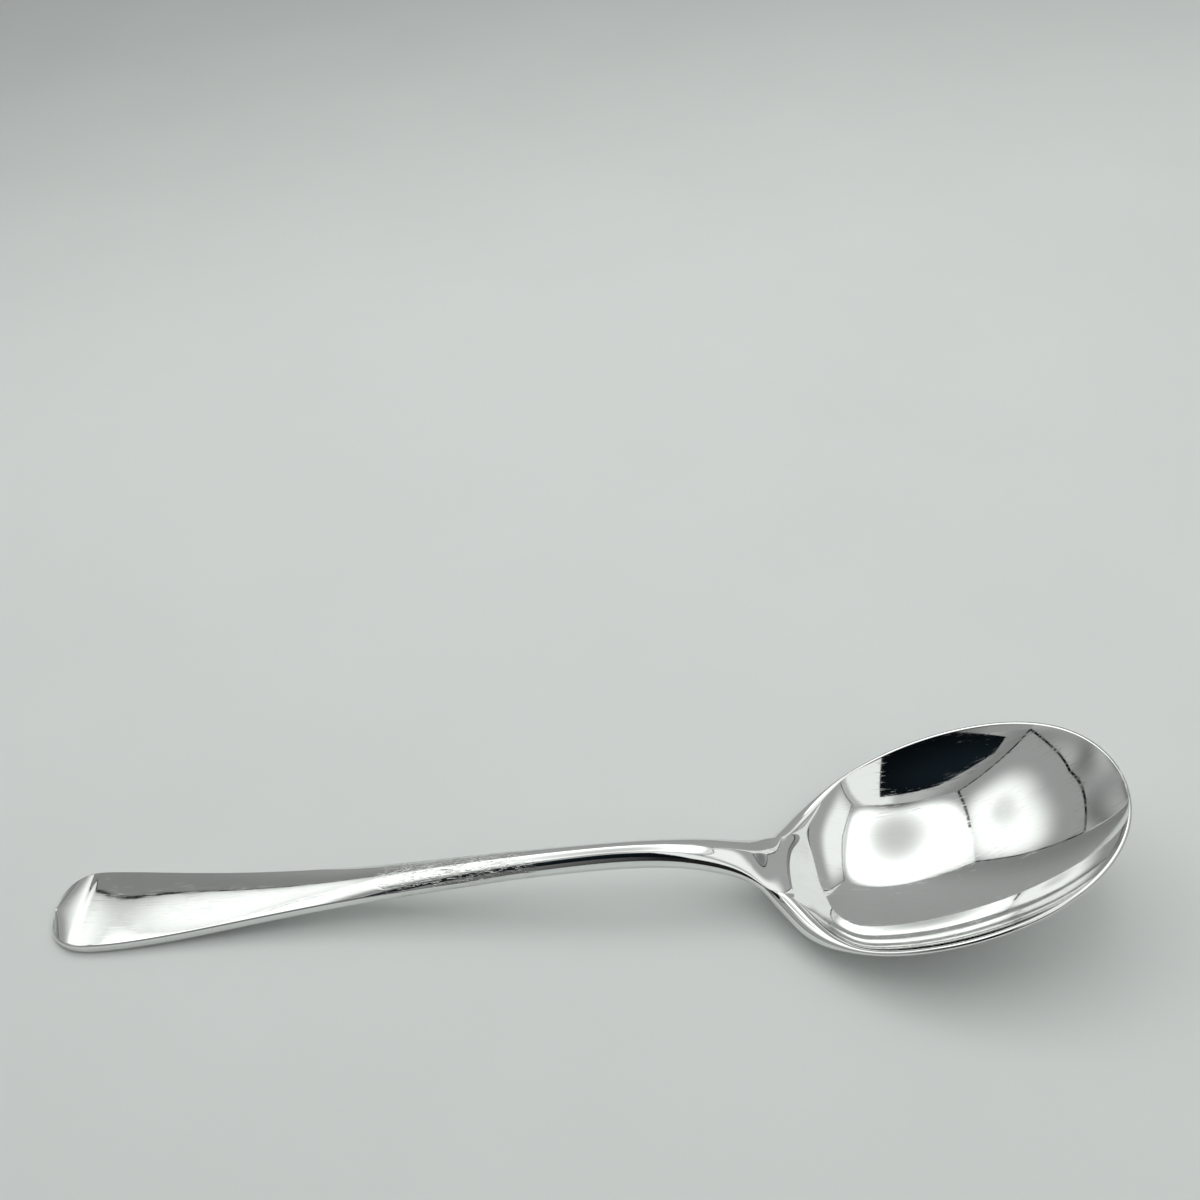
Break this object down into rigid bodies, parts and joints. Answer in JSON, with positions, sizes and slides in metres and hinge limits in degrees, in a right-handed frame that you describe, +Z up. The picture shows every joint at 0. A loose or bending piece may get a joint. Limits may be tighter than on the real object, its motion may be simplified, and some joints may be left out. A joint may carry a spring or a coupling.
{
  "type": "soup spoon",
  "caption": "Soup spoon with a wide deep oval bowl, a slim arched stem and a flat, rounded, slightly turned-down handle end.",
  "frame": {"origin": "middle of the spoon's length and width, on the table that it lies on", "axes": "+X from the handle end to the bowl tip, +Y to the left of a person who holds the handle and looks along +X, +Z up out of the bowl"},
  "size_m": [0.1916, 0.0464, 0.0242],
  "materials": {
    "handle_silver": "hand-polished silver with fine use scratches",
    "bowl_silver": "mirror-polished silver with fine use scratches",
    "silver_solder": "polished flush"
  },
  "bodies": {
    "root": {"handle": "handle_silver", "solder_seam": "silver_solder", "bowl": "bowl_silver", "heel_drop": "handle_silver"}
  },
  "joints": []
}
